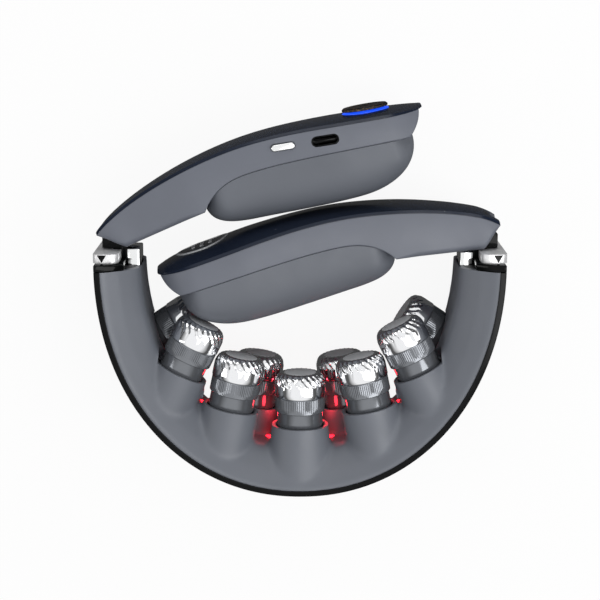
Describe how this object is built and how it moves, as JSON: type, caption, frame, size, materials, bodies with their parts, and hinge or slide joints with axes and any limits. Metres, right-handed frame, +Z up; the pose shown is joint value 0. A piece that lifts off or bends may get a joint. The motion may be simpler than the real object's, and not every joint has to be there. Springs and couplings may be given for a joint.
{
  "type": "neck massager",
  "caption": "U-shaped neck massager with sprung massage heads, two folding padded arms on sliders, a dial, a side button and a charging port.",
  "frame": {"origin": "middle of the bounding box, on the surface that the massager lies on", "axes": "+Z up, across the neck band; +Y towards the opening of the U; +X towards the right arm"},
  "size_m": [0.1374, 0.1312, 0.045],
  "materials": {
    "black_gloss": "polished",
    "grey_silicone": "matte",
    "black_plastic": "matte",
    "circuit_board": "satin",
    "red_lamp": "clear red, lit",
    "steel": "satin",
    "black_rubber": "matte",
    "chrome_dome": "polished",
    "grey_sleeve": "satin",
    "chrome": "polished",
    "white_mark": "matte",
    "grey_case": "satin",
    "navy_cover": "polished",
    "grey_pad": "matte",
    "heater_foil": "satin",
    "battery_wrap": "satin",
    "dark_dial": "brushed",
    "blue_light": "clear blue, lit"
  },
  "bodies": {
    "body": {"outer_shell": "black_gloss", "silicone_skin": "grey_silicone", "chassis": "black_plastic", "lamp_board": "circuit_board", "lamp_windows": "red_lamp", "vibration_motor": "steel", "head_stops": "black_rubber", "end_ring_left": "black_gloss", "end_ring_right": "black_gloss", "end_cap_left": "chrome", "end_cap_right": "chrome", "index_mark_left": "black_gloss", "index_mark_right": "black_gloss"},
    "left_slider": {"slider_left": "black_gloss", "slider_strip_left": "chrome", "size_marks_left": "white_mark", "hinge_pin_left": "steel"},
    "right_slider": {"slider_right": "black_gloss", "slider_strip_right": "chrome", "size_marks_right": "white_mark", "hinge_pin_right": "steel"},
    "left_arm": {"arm_case_left": "grey_case", "arm_cover_left": "navy_cover", "arm_pad_left": "grey_pad", "heater_left": "heater_foil", "main_board": "circuit_board", "charging_port": "steel", "turn_switch": "black_plastic", "light_ring": "blue_light"},
    "right_arm": {"arm_case_right": "grey_case", "arm_cover_right": "navy_cover", "arm_pad_right": "grey_pad", "heater_right": "heater_foil", "battery": "battery_wrap", "emblem": "chrome"},
    "dial_stem": {"dial_stem": "steel"},
    "dial": {"dial": "dark_dial"},
    "side_button": {"side_button": "chrome"},
    "head_1": {"dome_1": "chrome_dome", "sleeve_1": "grey_sleeve"},
    "head_2": {"dome_2": "chrome_dome", "sleeve_2": "grey_sleeve"},
    "head_3": {"dome_3": "chrome_dome", "sleeve_3": "grey_sleeve"},
    "head_4": {"dome_4": "chrome_dome", "sleeve_4": "grey_sleeve"},
    "head_5": {"dome_5": "chrome_dome", "sleeve_5": "grey_sleeve"},
    "head_6": {"dome_6": "chrome_dome", "sleeve_6": "grey_sleeve"},
    "head_7": {"dome_7": "chrome_dome", "sleeve_7": "grey_sleeve"},
    "head_8": {"dome_8": "chrome_dome", "sleeve_8": "grey_sleeve"},
    "head_9": {"dome_9": "chrome_dome", "sleeve_9": "grey_sleeve"}
  },
  "joints": [
    {"name": "left_arm_slide", "type": "slide", "parent": "body", "child": "left_slider", "axis": [0, 1, 0], "range_m": [0, 0.012]},
    {"name": "right_arm_slide", "type": "slide", "parent": "body", "child": "right_slider", "axis": [0, 1, 0], "range_m": [0, 0.012]},
    {"name": "left_arm_fold", "type": "hinge", "parent": "left_slider", "child": "left_arm", "pos_m": [-0.0613, 0.02409, 0.0225], "axis": [0, 0, 1], "range_deg": [0, 68]},
    {"name": "right_arm_fold", "type": "hinge", "parent": "right_slider", "child": "right_arm", "pos_m": [0.0613, 0.02409, 0.0225], "axis": [0, 0, 1], "range_deg": [-98, 0]},
    {"name": "dial_press", "type": "slide", "parent": "left_arm", "child": "dial_stem", "axis": [0.1728, -0.985, 0], "range_m": [0, 0.0004], "stiffness_N_per_m": 2000, "springref_m": -0.0005},
    {"name": "dial_turn", "type": "hinge", "parent": "dial_stem", "child": "dial", "pos_m": [0.02187, 0.06249, 0.0225], "axis": [-0.1728, 0.985, 0], "continuous": true},
    {"name": "side_button_press", "type": "slide", "parent": "left_arm", "child": "side_button", "axis": [0, 0, -1], "range_m": [0, 0.0008], "stiffness_N_per_m": 1500, "springref_m": -0.0005},
    {"name": "head_1_press", "type": "slide", "parent": "body", "child": "head_1", "axis": [-0.4384, -0.8988, 0], "range_m": [0, 0.0025], "stiffness_N_per_m": 2500, "springref_m": -0.0008},
    {"name": "head_2_press", "type": "slide", "parent": "body", "child": "head_2", "axis": [-0.2079, -0.9781, 0], "range_m": [0, 0.0025], "stiffness_N_per_m": 2500, "springref_m": -0.0008},
    {"name": "head_3_press", "type": "slide", "parent": "body", "child": "head_3", "axis": [0, -1, 0], "range_m": [0, 0.0025], "stiffness_N_per_m": 2500, "springref_m": -0.0008},
    {"name": "head_4_press", "type": "slide", "parent": "body", "child": "head_4", "axis": [0.2079, -0.9781, 0], "range_m": [0, 0.0025], "stiffness_N_per_m": 2500, "springref_m": -0.0008},
    {"name": "head_5_press", "type": "slide", "parent": "body", "child": "head_5", "axis": [0.4384, -0.8988, 0], "range_m": [0, 0.0025], "stiffness_N_per_m": 2500, "springref_m": -0.0008},
    {"name": "head_6_press", "type": "slide", "parent": "body", "child": "head_6", "axis": [-0.8329, -0.5534, 0], "range_m": [0, 0.0025], "stiffness_N_per_m": 2500, "springref_m": -0.0008},
    {"name": "head_7_press", "type": "slide", "parent": "body", "child": "head_7", "axis": [-0.1564, -0.9877, 0], "range_m": [0, 0.0025], "stiffness_N_per_m": 2500, "springref_m": -0.0008},
    {"name": "head_8_press", "type": "slide", "parent": "body", "child": "head_8", "axis": [0.1564, -0.9877, 0], "range_m": [0, 0.0025], "stiffness_N_per_m": 2500, "springref_m": -0.0008},
    {"name": "head_9_press", "type": "slide", "parent": "body", "child": "head_9", "axis": [0.8329, -0.5534, 0], "range_m": [0, 0.0025], "stiffness_N_per_m": 2500, "springref_m": -0.0008}
  ],
  "couplings": [
    {"joint": "right_arm_slide", "follows": "left_arm_slide", "ratio": 1},
    {"joint": "right_arm_fold", "follows": "left_arm_fold", "ratio": -0.25}
  ]
}
